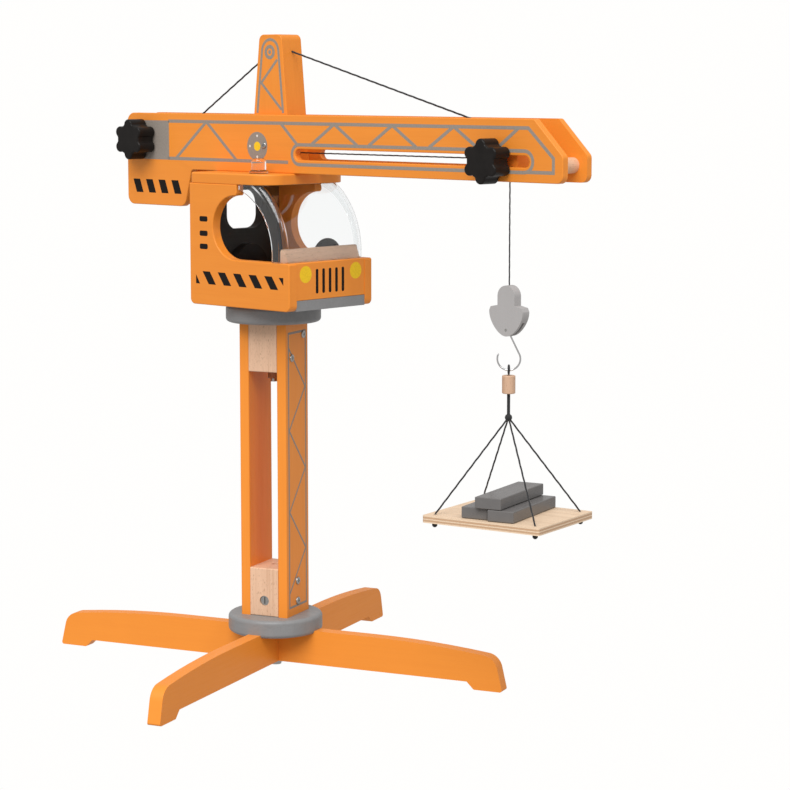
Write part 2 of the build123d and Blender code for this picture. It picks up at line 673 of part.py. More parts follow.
# ---- hook block and hook ------------------------------------------------------------------------
with BuildPart() as hook_block:
    shoulder_z = HOOK_BLOCK_Z[1] - 17.5
    with BuildSketch(side_plane(-HOOK_BLOCK_THICK / 2)) as face:
        with BuildLine():
            foot = Spline(
                (TROLLEY_X + 17.4, shoulder_z - 3),
                (TROLLEY_X + 10.5, shoulder_z - 18),
                (TROLLEY_X, HOOK_BLOCK_Z[0]),
                (TROLLEY_X - 10.5, shoulder_z - 18),
                (TROLLEY_X - 17.4, shoulder_z - 3),
            )
            Polyline(
                foot @ 1,
                (TROLLEY_X - 16.0, shoulder_z),
                (TROLLEY_X - 8.8, shoulder_z + 1.4),
                (TROLLEY_X - 8.8, HOOK_BLOCK_Z[1] - 8.8),
            )
            ThreePointArc(
                (TROLLEY_X - 8.8, HOOK_BLOCK_Z[1] - 8.8),
                (TROLLEY_X, HOOK_BLOCK_Z[1]),
                (TROLLEY_X + 8.8, HOOK_BLOCK_Z[1] - 8.8),
            )
            Polyline(
                (TROLLEY_X + 8.8, HOOK_BLOCK_Z[1] - 8.8),
                (TROLLEY_X + 8.8, shoulder_z + 1.4),
                (TROLLEY_X + 16.0, shoulder_z),
                foot @ 0,
            )
        make_face()
    extrude(amount=-HOOK_BLOCK_THICK)
    with BuildSketch(side_plane(-1.5)):
        with Locations((TROLLEY_X, HOOK_PIN_Z)):
            Rectangle(30, 13)
    extrude(amount=-3, mode=Mode.SUBTRACT)
    with BuildSketch(side_plane(-HOOK_BLOCK_THICK / 2)):
        with Locations((TROLLEY_X, HOOK_PIN_Z)):
            Circle(1.25)
    extrude(amount=-HOOK_BLOCK_THICK, mode=Mode.SUBTRACT)
save(hook_block.part, "hook_block")

pin_half = HOOK_BLOCK_THICK / 2
save(rod((TROLLEY_X, -pin_half, HOOK_PIN_Z), (TROLLEY_X, pin_half, HOOK_PIN_Z), 1.25), "hook_pin")

twist = Vector(cos(radians(HOOK_TWIST)), sin(radians(HOOK_TWIST)), 0)
bowl_plane = Plane(origin=(TROLLEY_X, 0, HOOK_BOWL_Z), x_dir=twist, z_dir=twist.cross(Vector(0, 0, 1)))
eye_radius = 1.25 + 0.2 + HOOK_WIRE
eye_centre_z = HOOK_PIN_Z - 0.2
eye_foot = eye_centre_z - eye_radius
with BuildPart() as hook:
    with BuildLine(bowl_plane):
        shank_top = (0, eye_foot - HOOK_BOWL_Z)
        bowl = CenterArc((0, 0), HOOK_BOWL_RADIUS, 20, -222)
        shank = Line(shank_top, bowl @ 0)
    with BuildSketch(Plane(origin=bowl @ 0, z_dir=bowl % 0)):
        Circle(HOOK_WIRE)
    sweep(path=bowl)
    with BuildSketch(Plane(origin=shank @ 0, z_dir=shank % 0)):
        Circle(HOOK_WIRE)
    extrude(amount=shank.length)
    for joint_point in (shank @ 0, shank @ 1, bowl @ 1):
        with Locations(joint_point):
            Sphere(HOOK_WIRE)
    with Locations(Plane(origin=(TROLLEY_X, 0, eye_centre_z), z_dir=(0, 1, 0))):
        Torus(eye_radius, HOOK_WIRE)
save(hook.part, "hook")

# ---- sling, pallet and planks -------------------------------------------------------------------
LOOP_RADIUS = 3.5
loop_z = BEAD_Z[1] + GAP + LOOP_RADIUS + SLING_CORD
with BuildPart() as sling_loop:
    with Locations(Plane(origin=(TROLLEY_X, 0, loop_z), z_dir=twist)):
        Torus(LOOP_RADIUS, SLING_CORD)
save(sling_loop.part, "sling_loop")

with BuildPart() as sling_knot:
    with Locations((TROLLEY_X, 0, KNOT_Z)):
        Cylinder(1.3, BEAD_Z[1] - 1 - KNOT_Z, align=ON_BASE)
        Sphere(3.0)
save(sling_knot.part, "sling_knot")

with BuildPart(Plane.XY.offset(BEAD_Z[0])) as sling_bead:
    with Locations((TROLLEY_X, 0, 0)):
        Cylinder(BEAD_RADIUS, BEAD_Z[1] - BEAD_Z[0], align=ON_BASE)
    fillet(sling_bead.edges(), 0.8)
    with Locations((TROLLEY_X, 0, 0)):
        Cylinder(1.3, 100, mode=Mode.SUBTRACT)
save(sling_bead.part, "sling_bead")

corners = [(sx * SLING_HOLES[0] / 2, sy * SLING_HOLES[1] / 2) for sx, sy in ((-1, -1), (1, -1), (1, 1), (-1, 1))]
for number, corner in enumerate(corners, start=1):
    hole = pallet_plane.from_local_coords(Vector(*corner, 0))
    towards = (Vector(TROLLEY_X, 0, KNOT_Z) - hole).normalized()
    start = Vector(TROLLEY_X, 0, KNOT_Z) - towards * 3.0
    save(rod(start, hole + towards * 0.6, SLING_CORD), f"sling_leg_{number}")

with BuildPart(pallet_plane.offset(-PALLET_SIZE[2])) as pallet:
    Box(*PALLET_SIZE, align=ON_BASE)
    fillet(pallet.edges().filter_by(Axis.Z), 2)
    with GridLocations(*SLING_HOLES, 2, 2):
        Cylinder(SLING_CORD + 0.3, 30, mode=Mode.SUBTRACT)
save(pallet.part, "pallet")

with BuildPart(pallet_plane.offset(-PALLET_SIZE[2])) as pallet_knots:
    with GridLocations(*SLING_HOLES, 2, 2):
        with Locations((0, 0, -1)):
            Cylinder(SLING_CORD, PALLET_SIZE[2] + 1, align=ON_BASE)
        with Locations((0, 0, -2.2)):
            Sphere(2.2)
save(pallet_knots.part, "pallet_knots")

PLANKS = {"plank_left": (-12.6, 3.0, 0.0), "plank_right": (12.6, 1.0, 0.0), "plank_top": (1.5, 0.0, PLANK_SIZE[2])}
for name, (across, along, lift) in PLANKS.items():
    with BuildPart(pallet_plane.offset(lift + GAP * (1 + lift / PLANK_SIZE[2]))) as plank:
        with Locations(Location((across, along, 0), (0, 0, PLANK_TURN))):
            Box(*PLANK_SIZE, align=ON_BASE)
        fillet(plank.edges(), 0.8)
    save(plank.part, name)
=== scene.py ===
"""Looks for the toy tower crane: camera, cords, printed markings, materials, light.

Metres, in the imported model's own frame: +Z up, +X along the jib, origin on the slewing axis at the floor.
"""
from math import ceil, cos, pi, radians, sin

import bpy
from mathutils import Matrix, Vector


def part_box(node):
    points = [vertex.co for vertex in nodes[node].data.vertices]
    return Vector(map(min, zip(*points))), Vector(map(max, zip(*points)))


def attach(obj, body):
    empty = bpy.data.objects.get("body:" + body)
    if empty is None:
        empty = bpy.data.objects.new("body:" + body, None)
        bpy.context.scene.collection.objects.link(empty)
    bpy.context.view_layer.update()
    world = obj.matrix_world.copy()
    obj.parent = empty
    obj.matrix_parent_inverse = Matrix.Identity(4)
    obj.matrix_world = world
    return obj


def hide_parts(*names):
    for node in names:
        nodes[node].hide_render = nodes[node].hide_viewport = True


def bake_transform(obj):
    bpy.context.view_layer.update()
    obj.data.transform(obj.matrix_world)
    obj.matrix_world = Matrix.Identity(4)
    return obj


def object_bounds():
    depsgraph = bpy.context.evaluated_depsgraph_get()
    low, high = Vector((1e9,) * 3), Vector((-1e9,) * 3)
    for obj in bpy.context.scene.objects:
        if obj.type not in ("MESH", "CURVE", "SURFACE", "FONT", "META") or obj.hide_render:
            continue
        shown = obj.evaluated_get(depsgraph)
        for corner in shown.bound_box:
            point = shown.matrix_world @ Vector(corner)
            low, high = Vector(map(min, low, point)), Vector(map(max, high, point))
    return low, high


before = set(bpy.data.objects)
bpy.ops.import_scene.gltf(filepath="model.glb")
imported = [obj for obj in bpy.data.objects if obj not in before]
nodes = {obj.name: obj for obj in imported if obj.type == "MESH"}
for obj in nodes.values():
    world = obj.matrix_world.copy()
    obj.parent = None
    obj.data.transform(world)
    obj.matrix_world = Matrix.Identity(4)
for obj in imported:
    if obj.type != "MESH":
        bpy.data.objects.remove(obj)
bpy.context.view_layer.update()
scene = bpy.context.scene
MM = 0.001

# ---- camera -------------------------------------------------------------------------------------
camera = bpy.data.objects.new("camera", bpy.data.cameras.new("camera"))
scene.collection.objects.link(camera)
scene.camera = camera
camera.location = (1.4903, -1.4719, 0.5256)
camera.rotation_euler = (radians(82.37), 0, radians(42.48))
camera.data.lens = 109.04
camera.data.sensor_width = 36
camera.data.shift_x = 0.0023
camera.data.shift_y = -0.001
camera.data.clip_end = 50


# ---- material building --------------------------------------------------------------------------
class Shader:
    """A Principled material with short calls for the texture nodes it is made of."""

    def __init__(self, name, **settings):
        self.material = bpy.data.materials.new(name)
        self.material.use_nodes = True
        self.nodes = self.material.node_tree.nodes
        self.links = self.material.node_tree.links
        self.bsdf = self.nodes["Principled BSDF"]
        self.place = self.add("ShaderNodeTexCoord").outputs["Object"]
        for socket, value in settings.items():
            self.bsdf.inputs[socket.replace("_", " ")].default_value = value

    def add(self, kind, **values):
        node = self.nodes.new(kind)
        for name, value in values.items():
            setattr(node, name, value)
        return node

    def stretched(self, scale, turn=0.0):
        """Object coordinates turned about Z and scaled per axis."""
        turned = self.add("ShaderNodeMapping", vector_type="POINT")
        turned.inputs["Rotation"].default_value = (0, 0, -turn)
        self.links.new(self.place, turned.inputs["Vector"])
        sized = self.add("ShaderNodeMapping", vector_type="POINT")
        sized.inputs["Scale"].default_value = scale
        self.links.new(turned.outputs["Vector"], sized.inputs["Vector"])
        return sized.outputs["Vector"]

    def noise(self, vector, scale=1.0, detail=3.0, roughness=0.5, distortion=0.0):
        node = self.add("ShaderNodeTexNoise")
        node.inputs["Scale"].default_value = scale
        node.inputs["Detail"].default_value = detail
        node.inputs["Roughness"].default_value = roughness
        node.inputs["Distortion"].default_value = distortion
        self.links.new(vector, node.inputs["Vector"])
        return node.outputs["Fac"]

    def ramp(self, factor, *stops, interpolation="LINEAR"):
        """Colour ramp: stops are (position, colour)."""
        node = self.add("ShaderNodeValToRGB")
        node.color_ramp.interpolation = interpolation
        elements = node.color_ramp.elements
        while len(elements) < len(stops):
            elements.new(0.5)
        for element, (position, colour) in zip(elements, stops):
            element.position = position
            element.color = (*colour, 1) if len(colour) == 3 else (colour[0],) * 3 + (1,)
        self.links.new(factor, node.inputs["Fac"])
        return node.outputs["Color"]

    def mix(self, factor, a, b):
        node = self.add("ShaderNodeMix", data_type="RGBA")
        for socket_name, value in (("Factor", factor), ("A", a), ("B", b)):
            self.feed(node.inputs[socket_name], value)
        return node.outputs["Result"]

    def veil(self, under, over, pattern, low, high, amount):
        """Lays one colour over another where the pattern rises from low to high, up to an amount."""
        where = self.ramp(pattern, (low, (0,)), (high, (1,)))
        return self.mix(self.maths("MULTIPLY", where, amount), under, over)

    def maths(self, operation, a, b=0.0):
        node = self.add("ShaderNodeMath", operation=operation)
        self.feed(node.inputs[0], a)
        self.feed(node.inputs[1], b)
        return node.outputs[0]

    def feed(self, socket, value):
        if hasattr(value, "is_output"):
            self.links.new(value, socket)
        elif isinstance(value, tuple):
            socket.default_value = (*value, 1)
        else:
            socket.default_value = value

    def colour(self, value):
        self.feed(self.bsdf.inputs["Base Color"], value)

    def roughness(self, value):
        self.feed(self.bsdf.inputs["Roughness"], value)

    def bump(self, height, strength, distance):
        """Adds one more layer of bump on top of those already there."""
        node = self.add("ShaderNodeBump")
        node.inputs["Strength"].default_value = strength
        node.inputs["Distance"].default_value = distance
        self.links.new(height, node.inputs["Height"])
        normal = self.bsdf.inputs["Normal"]
        if normal.links:
            self.links.new(normal.links[0].from_socket, node.inputs["Normal"])
        self.links.new(node.outputs["Normal"], normal)


def tone(colour, factor):
    return tuple(min(1.0, channel * factor) for channel in colour)


def grain_scale(along, across, length):
    """Scale per axis for streaks that run along one axis: fine across it, long along it."""
    return tuple(length if axis == along else across for axis in "xyz")


# Depth of the finest relief in a surface, in metres.
COARSE_BUMP = 0.00012
HAIR_BUMP = 0.0001
FINE_BUMP = 0.00008

ORANGE = (0.80, 0.262, 0.030)
ORANGE_DEEP = (0.64, 0.160, 0.014)
GREY = (0.245, 0.245, 0.247)
HOOK_GREY = (0.38, 0.365, 0.36)
PLANK_GREY = (0.150, 0.142, 0.139)
BEECH = (0.78, 0.50, 0.33)
BEECH_DARK = (0.55, 0.30, 0.17)


def painted(name, colour, deep, along, turn=0.0, shine=0.42, streaks=0.5):
    """Satin paint over wood: the grain shows through faintly, and a painted highlight makes the edges a
    little paler.
    """
    shader = Shader(name, Coat_Weight=0.05, Coat_Roughness=0.22, Specular_IOR_Level=0.3)
    fine = shader.noise(shader.stretched(grain_scale(along, 900, 22), turn), detail=4, roughness=0.6)
    broad = shader.noise(shader.stretched(grain_scale(along, 120, 7), turn), distortion=0.6)
    cloud = shader.noise(shader.stretched((26, 26, 26)), detail=2)
    edges = shader.add("ShaderNodeNewGeometry").outputs["Pointiness"]
    base = shader.veil(colour, deep, broad, 0.35, 0.75, 0.30 * streaks)
    base = shader.veil(base, deep, fine, 0.45, 0.8, 0.35 * streaks)
    base = shader.veil(base, tone(colour, 1.12), cloud, 0.4, 0.7, 0.14)
    # Painted highlight: convex edges (high pointiness) are lifted towards a paler tone, standing in for
    # gloss catching the rounded edges.
    base = shader.veil(base, tone(colour, 1.25), edges, 0.51, 0.58, 0.25)
    shader.colour(base)
    shader.roughness(shader.ramp(fine, (0.3, (shine - 0.05,)), (0.8, (shine + 0.1,))))
    shader.bump(fine, 0.25, COARSE_BUMP)
    shader.bump(shader.noise(shader.stretched((600, 600, 600)), detail=2), 0.12, FINE_BUMP)
    return shader.material


def bare_wood(name, pale, dark, along, turn=0.0):
    """Sanded beech: soft growth bands, short dark pores and flecks along the grain."""
    shader = Shader(name, Coat_Weight=0.04, Coat_Roughness=0.4)
    bands = shader.noise(
        shader.stretched(grain_scale(along, 160, 6), turn), detail=4, roughness=0.65, distortion=1.2
    )
    fibres = shader.noise(shader.stretched(grain_scale(along, 1500, 45), turn), roughness=0.7)
    flecks = shader.noise(shader.stretched(grain_scale(along, 1300, 320), turn), detail=1)
    base = shader.ramp(bands, (0.3, pale), (0.55, tone(pale, 0.93)), (0.75, dark))
    base = shader.veil(base, dark, fibres, 0.45, 0.75, 0.4)
    base = shader.veil(base, tone(dark, 0.62), flecks, 0.62, 0.7, 0.5)
    shader.colour(base)
    shader.roughness(shader.ramp(fibres, (0.3, (0.48,)), (0.8, (0.66,))))
    shader.bump(fibres, 0.3, COARSE_BUMP)
    shader.bump(flecks, 0.15, FINE_BUMP)
    return shader.material


def plywood(name, bottom, thickness, turn):
    """Veneer faces, and edges that show the plies as pale and dark layers with glue lines."""
    shader = Shader(name, Roughness=0.58)
    pale, dark = (0.80, 0.60, 0.42), (0.58, 0.36, 0.21)
    bands = shader.noise(
        shader.stretched(grain_scale("x", 110, 5), turn), detail=4, roughness=0.6, distortion=1.6
    )
    fibres = shader.noise(shader.stretched(grain_scale("x", 1400, 40), turn))
    veneer = shader.ramp(bands, (0.35, pale), (0.62, tone(pale, 0.9)), (0.8, dark))
    veneer = shader.veil(veneer, dark, fibres, 0.5, 0.8, 0.3)
    split = shader.add("ShaderNodeSeparateXYZ")
    shader.links.new(shader.place, split.inputs[0])
    level = shader.maths("DIVIDE", shader.maths("SUBTRACT", split.outputs["Z"], bottom), thickness)
    wobble = shader.maths("MULTIPLY", shader.noise(shader.stretched((60, 60, 900)), detail=2), 0.03)
    level = shader.maths("ADD", level, wobble)
    glue = tone(dark, 0.45)
    plies = shader.ramp(
        level,
        (0.0, pale), (0.20, glue), (0.225, dark), (0.40, glue), (0.425, pale),
        (0.60, glue), (0.625, dark), (0.80, glue), (0.825, pale),
        interpolation="CONSTANT",
    )
    speck = shader.noise(shader.stretched((900, 900, 900)), detail=2)
    plies = shader.veil(plies, tone(dark, 0.8), speck, 0.5, 0.75, 0.4)
    facing = shader.add("ShaderNodeSeparateXYZ")
    shader.links.new(shader.add("ShaderNodeNewGeometry").outputs["Normal"], facing.inputs[0])
    flat = shader.ramp(shader.maths("ABSOLUTE", facing.outputs["Z"]), (0.6, (0,)), (0.75, (1,)))
    shader.colour(shader.mix(flat, plies, veneer))
    shader.bump(fibres, 0.25, COARSE_BUMP)
    return shader.material


def moulded(name, colour, shine):
    """Moulded plastic with a faint moulding texture."""
    shader = Shader(name, Coat_Weight=0.05, Coat_Roughness=0.12, Specular_IOR_Level=0.12)
    speckle = shader.noise(shader.stretched((900, 900, 900)), detail=2)
    drift = shader.noise(shader.stretched((90, 90, 90)), detail=2)
    shader.colour(shader.ramp(drift, (0.3, colour), (0.8, tone(colour, 1.5))))
    shader.roughness(shader.ramp(drift, (0.3, (shine,)), (0.8, (shine + 0.12,))))
    shader.bump(speckle, 0.2, 0.75 * FINE_BUMP)
    return shader.material


def clear(name, colour):
    """Clear acrylic with a few polishing scratches."""
    shader = Shader(name, Transmission_Weight=1.0, IOR=1.46)
    shader.colour(colour)
    scratch = shader.noise(shader.stretched((40, 1500, 300)), detail=2)
    shader.roughness(shader.ramp(scratch, (0.6, (0.015,)), (0.8, (0.06,))))
    return shader.material


def metal(name, colour, shine, brushed=0.15):
    """Bare metal with fine brush lines."""
    shader = Shader(name, Metallic=1.0)
    lines = shader.noise(shader.stretched((400, 400, 1800)))
    shader.colour(shader.ramp(lines, (0.3, tone(colour, 0.8)), (0.7, colour)))
    shader.roughness(shader.ramp(lines, (0.3, (shine,)), (0.7, (shine + 0.12,))))
    shader.bump(lines, brushed, 0.5 * FINE_BUMP)
    return shader.material


def fibre(name, colour):
    """Matt spun cord with a little sheen."""
    shader = Shader(name, Roughness=0.78, Sheen_Weight=0.35, Sheen_Roughness=0.4)
    hairs = shader.noise(shader.stretched((2600, 2600, 2600)), detail=2)
    shader.colour(shader.ramp(hairs, (0.35, tone(colour, 0.6)), (0.75, tone(colour, 2.2))))
    shader.bump(hairs, 0.4, HAIR_BUMP)
    return shader.material


def ink(name, colour, shine=0.4):
    """Screen-printed ink, very slightly uneven."""
    shader = Shader(name, Roughness=shine, Specular_IOR_Level=0.1)
    spread = shader.noise(shader.stretched((700, 700, 700)))
    shader.colour(shader.ramp(spread, (0.3, tone(colour, 0.92)), (0.7, tone(colour, 1.08))))
    return shader.material


# How far the legs and tower, the pallet and the planks are turned about Z.
BASE_TURN = radians(18.4)
PALLET_TURN = radians(9.8)
PLANK_TURN = PALLET_TURN + radians(5.0)

orange_x = painted("orange_paint_x", ORANGE, ORANGE_DEEP, "x")
orange_z = painted("orange_paint_z", ORANGE, ORANGE_DEEP, "z", streaks=0.8)
orange_u = painted("orange_paint_leg_u", ORANGE, ORANGE_DEEP, "x", BASE_TURN)
orange_v = painted("orange_paint_leg_v", ORANGE, ORANGE_DEEP, "y", BASE_TURN)
grey_x = painted("grey_paint", GREY, tone(GREY, 0.6), "x", shine=0.38, streaks=1.0)
hook_grey = painted("hook_grey_paint", HOOK_GREY, tone(HOOK_GREY, 0.75), "z", shine=0.45)
plank_paint = painted(
    "plank_paint", PLANK_GREY, tone(PLANK_GREY, 0.6), "y", PLANK_TURN, shine=0.3, streaks=0.6
)
black_paint = painted("black_paint", (0.020, 0.019, 0.017), (0.012, 0.011, 0.010), "y", shine=0.6)
beech_z = bare_wood("beech_z", BEECH, BEECH_DARK, "z", BASE_TURN)
beech_y = bare_wood("beech_y", BEECH, BEECH_DARK, "y")
bead_wood = bare_wood("beech_bead", tone(BEECH, 0.8), BEECH_DARK, "z")
pallet_low, pallet_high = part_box("pallet")
pallet_ply = plywood("birch_ply", pallet_low.z, pallet_high.z - pallet_low.z, PALLET_TURN)
black_plastic = moulded("black_plastic", (0.010, 0.0085, 0.0078), 0.3)
white_plastic = moulded("white_plastic", (0.7, 0.7, 0.68), 0.45)
acrylic = clear("clear_acrylic", (0.95, 0.965, 0.97))
steel = metal("zinc_steel", (0.52, 0.51, 0.49), 0.28)
chrome = metal("chrome_wire", (0.72, 0.72, 0.72), 0.06, brushed=0.03)
cord_black = fibre("black_cord", (0.012, 0.012, 0.013))
ink_grey = ink("ink_grey", (0.29, 0.25, 0.215))
ink_black = ink("ink_black", (0.012, 0.010, 0.009), 0.6)
ink_yellow = ink("ink_yellow", (0.86, 0.56, 0.025))
ink_pale = ink("ink_pale", (0.74, 0.70, 0.64))

FINISHES = {
    orange_x: ("cab_side_near", "cab_side_far", "cab_front_panel", "roof", "jib_board_near",
               "jib_board_far", "counterweight_block", "trolley_block"),
    orange_z: ("tower_board_left", "tower_board_right", "mast"),
    orange_u: ("leg_lower",),
    orange_v: ("leg_upper",),
    grey_x: ("lower_disc", "upper_disc", "cab_floor"),
    hook_grey: ("hook_block",),
    black_paint: ("cab_rear_wall",),
    plank_paint: ("plank_left", "plank_right", "plank_top"),
    beech_z: ("tower_foot_block", "tower_head_block"),
    beech_y: ("dashboard", "nose_dowel", "winch_drum", "winch_axle", "trolley_axle", "stay_pins"),
    bead_wood: ("sling_bead",),
    pallet_ply: ("pallet",),
    black_plastic: ("winch_knob", "winch_cap", "trolley_knob", "trolley_cap", "seat", "steering_wheel",
                    "steering_column"),
    acrylic: ("windshield", "beacon"),
    white_plastic: ("glide_washer",),
    steel: ("tower_screws", "jib_screws", "base_bolt", "slew_bolt", "slew_nut", "barrel_nut", "hook_pin"),
    chrome: ("hook",),
    cord_black: ("sling_loop", "sling_knot", "pallet_knots"),
}
for material, names in FINISHES.items():
    for node_name in names:
        nodes[node_name].data.materials.clear()
        nodes[node_name].data.materials.append(material)


# ---- cords --------------------------------------------------------------------------------------
def link_mesh(name, vertices, faces, material, smooth=False):
    mesh = bpy.data.meshes.new(name)
    mesh.from_pydata([tuple(point) for point in vertices], [], faces)
    mesh.materials.append(material)
    if smooth:
        mesh.shade_smooth()
    mesh.validate()
    piece = bpy.data.objects.new(name, mesh)
    scene.collection.objects.link(piece)
    return piece


def spline_line(route):
    """The smooth line of a route: its NURBS spline, read back as points."""
    curve = bpy.data.curves.new("route", "CURVE")
    curve.dimensions = "3D"
    curve.resolution_u = 24
    spline = curve.splines.new("NURBS")
    spline.points.add(len(route) - 1)
    for point, place in zip(spline.points, route):
        point.co = (*place, 1)
    spline.order_u = 3
    spline.use_endpoint_u = True
    carrier = bpy.data.objects.new("route", curve)
    mesh = bpy.data.meshes.new_from_object(carrier)
    line = [vertex.co.copy() for vertex in mesh.vertices]
    bpy.data.objects.remove(carrier)
    bpy.data.meshes.remove(mesh)
    bpy.data.curves.remove(curve)
    return line


STRANDS = 3
SIDES = 4 * STRANDS
# One full twist of the strands takes this many cord diameters.
LAY = 6.5
# Distance between the rings of the mesh in diameters, and how deep the grooves between the strands are.
RING_STEP = 0.33
GROOVE = 0.14


def laid_cord(name, route, diameter, material):
    """A laid cord along a route: three strands that twist round each other, closed at both ends."""
    line = spline_line(route)
    step = diameter * RING_STEP
    centres = []
    for start, end in zip(line, line[1:]):
        count = max(1, ceil((end - start).length / step))
        centres += [start.lerp(end, index / count) for index in range(count)]
    centres.append(line[-1])
    radius = diameter / 2
    side = Vector((0, 1, 0))
    if abs((centres[1] - centres[0]).normalized().dot(side)) > 0.7:
        side = Vector((0, 0, 1))
    vertices, faces = [], []
    travelled = 0.0
    for index, centre in enumerate(centres):
        ahead = centres[min(index + 1, len(centres) - 1)] - centres[max(index - 1, 0)]
        ahead.normalize()
        side = (side - ahead * side.dot(ahead)).normalized()
        other = ahead.cross(side)
        if index:
            travelled += (centre - centres[index - 1]).length
        turn = 2 * pi * travelled / (LAY * diameter)
        for corner in range(SIDES):
            angle = 2 * pi * corner / SIDES
            reach = radius * (1 - GROOVE + GROOVE * cos(STRANDS * (angle - turn / STRANDS)))
            vertices.append(centre + (side * cos(angle) + other * sin(angle)) * reach)
    for ring in range(len(centres) - 1):
        for corner in range(SIDES):
            following = (corner + 1) % SIDES
            first, second = ring * SIDES, (ring + 1) * SIDES
            faces.append((first + corner, first + following, second + following, second + corner))
    faces.append(tuple(reversed(range(SIDES))))
    faces.append(tuple(range((len(centres) - 1) * SIDES, len(centres) * SIDES)))
    return link_mesh(name, vertices, faces, material, smooth=True), line


def straight(start, end):
    """Route of a tight cord: its two ends and its middle."""
    return [Vector(start), (Vector(start) + Vector(end)) / 2, Vector(end)]


STAY_DIAMETER = 0.0017
HOIST_DIAMETER = 0.0013
SLING_DIAMETER = 0.0016
WINCH_X = -0.147
LINE_Z = 0.4582
TROLLEY_X = 0.2686
# The knot of the sling, the pallet's cord holes from its centre, and where each cord starts and ends.
KNOT = Vector((TROLLEY_X, 0, 0.2507))
HOLE_REACH = (0.0465, 0.0375)
KNOT_GAP = 0.003
HOLE_GAP = 0.0006

TIGHT_CORDS = (
    ("stay_rear", (-0.099, 0, 0.4833), (0.003, 0, 0.5466), STAY_DIAMETER, "stay_rope_rear", "upper_works"),
    ("stay_front", (0.243, 0, 0.4856), (0.018, 0, 0.5462), STAY_DIAMETER, "stay_rope_front", "upper_works"),
)
for name, start, end, diameter, node_name, body in TIGHT_CORDS:
    piece, line = laid_cord(name, straight(start, end), diameter, cord_black)
    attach(piece, body)
    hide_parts(node_name)

STRETCHING_CORDS = (
    ("hoist_line", (WINCH_X, 0, LINE_Z), (0.2556, 0, LINE_Z), "hoist_run", "upper_works", "trolley"),
    ("hoist_drop", (TROLLEY_X, 0, 0.4455), (TROLLEY_X, 0, 0.3577), "hoist_fall", "trolley", "hook_block"),
)
for name, start, end, node_name, body_a, body_b in STRETCHING_CORDS:
    piece, line = laid_cord(name, straight(start, end), HOIST_DIAMETER, cord_black)
    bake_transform(piece)
    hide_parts(node_name)

CORNERS = ((-1, -1), (1, -1), (1, 1), (-1, 1))
for number, (along, across) in enumerate(CORNERS, start=1):
    x, y = along * HOLE_REACH[0], across * HOLE_REACH[1]
    hole = Vector((
        TROLLEY_X + x * cos(PALLET_TURN) - y * sin(PALLET_TURN),
        x * sin(PALLET_TURN) + y * cos(PALLET_TURN),
        pallet_high.z,
    ))
    up = (KNOT - hole).normalized()
    start, end = KNOT - up * KNOT_GAP, hole + up * HOLE_GAP
    piece, line = laid_cord(f"sling_cord_{number}", straight(start, end), SLING_DIAMETER, cord_black)
    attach(piece, "load")
    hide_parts(f"sling_leg_{number}")


# ---- printed markings ---------------------------------------------------------------------------
# Half the thickness of the ink, and the steps by which overlapping shapes lie over each other.
INK = 0.00006
LAYER = 0.00001
# Keeps the corner of a very sharp mitre from running out too far.
SHARPEST_MITRE = 0.35


class Print:
    """Flat inked shapes on one face: (a, b) in millimetres map to the face by origin, right and up."""

    def __init__(self, name, body, slot_name, origin, right, up):
        self.name, self.body, self.slot_name = name, body, slot_name
        self.origin, self.right, self.up = Vector(origin), Vector(right), Vector(up)
        self.out = self.right.cross(self.up)
        self.count = 0

    def shapes(self, polygons, material, lift=0.0):
        """Thin closed slabs, one for each convex polygon."""
        vertices, faces = [], []
        for polygon in polygons:
            corners = [self.origin + (self.right * a + self.up * b) * MM for a, b in polygon]
            following = polygon[1:] + polygon[:1]
            if sum(a[0] * b[1] - b[0] * a[1] for a, b in zip(polygon, following)) < 0:
                corners.reverse()
            base = len(vertices)
            size = len(corners)
            vertices += [corner - self.out * INK for corner in corners]
            vertices += [corner + self.out * (INK + lift) for corner in corners]
            faces.append(tuple(base + size + index for index in range(size)))
            faces.append(tuple(base + size - 1 - index for index in range(size)))
            for index in range(size):
                after = (index + 1) % size
                faces.append((base + index, base + after, base + size + after, base + size + index))
        self.count += 1
        piece = link_mesh(f"{self.name}_{self.count}", vertices, faces, material)
        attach(piece, self.body)
        return piece

    def lines(self, paths, width, material, lift=0.0):
        """Mitred strokes along paths; a path that ends where it starts is closed."""
        polygons = []
        for path in paths:
            points = [Vector(point) for point in path]
            closed = (points[0] - points[-1]).length < 1e-6
            if closed:
                points = points[:-1]
            left, right = [], []
            count = len(points)
            for index, point in enumerate(points):
                before = points[index - 1] if closed or index else None
                after = points[(index + 1) % count] if closed or index < count - 1 else None
                away = (after - point).normalized() if after is not None else None
                into = (point - before).normalized() if before is not None else away
                if away is None:
                    away = into
                normal = Vector((-(into + away).y, (into + away).x)).normalized()
                reach = width / 2 / max(SHARPEST_MITRE, normal.dot(Vector((-into.y, into.x))))
                left.append(point + normal * reach)
                right.append(point - normal * reach)
            for index in range(count if closed else count - 1):
                after = (index + 1) % count
                corners = (left[index], right[index], right[after], left[after])
                polygons.append([tuple(corner) for corner in corners])
        return self.shapes(polygons, material, lift)


def disc_shape(centre, radius, sides=40):
    """A filled disc."""
    angles = [2 * pi * k / sides for k in range(sides)]
    return [(centre[0] + radius * cos(a), centre[1] + radius * sin(a)) for a in angles]


def ring_shapes(centre, outer, inner, sides=40):
    """A ring as a row of four-sided pieces."""
    inside, outside = disc_shape(centre, inner, sides), disc_shape(centre, outer, sides)
    return [
        [inside[k], outside[k], outside[(k + 1) % sides], inside[(k + 1) % sides]] for k in range(sides)
    ]


def arc_points(centre, radius, start, end, count=10):
    """Points along an arc, angles in degrees."""
    angles = [radians(start + (end - start) * k / count) for k in range(count + 1)]
    return [(centre[0] + radius * cos(a), centre[1] + radius * sin(a)) for a in angles]


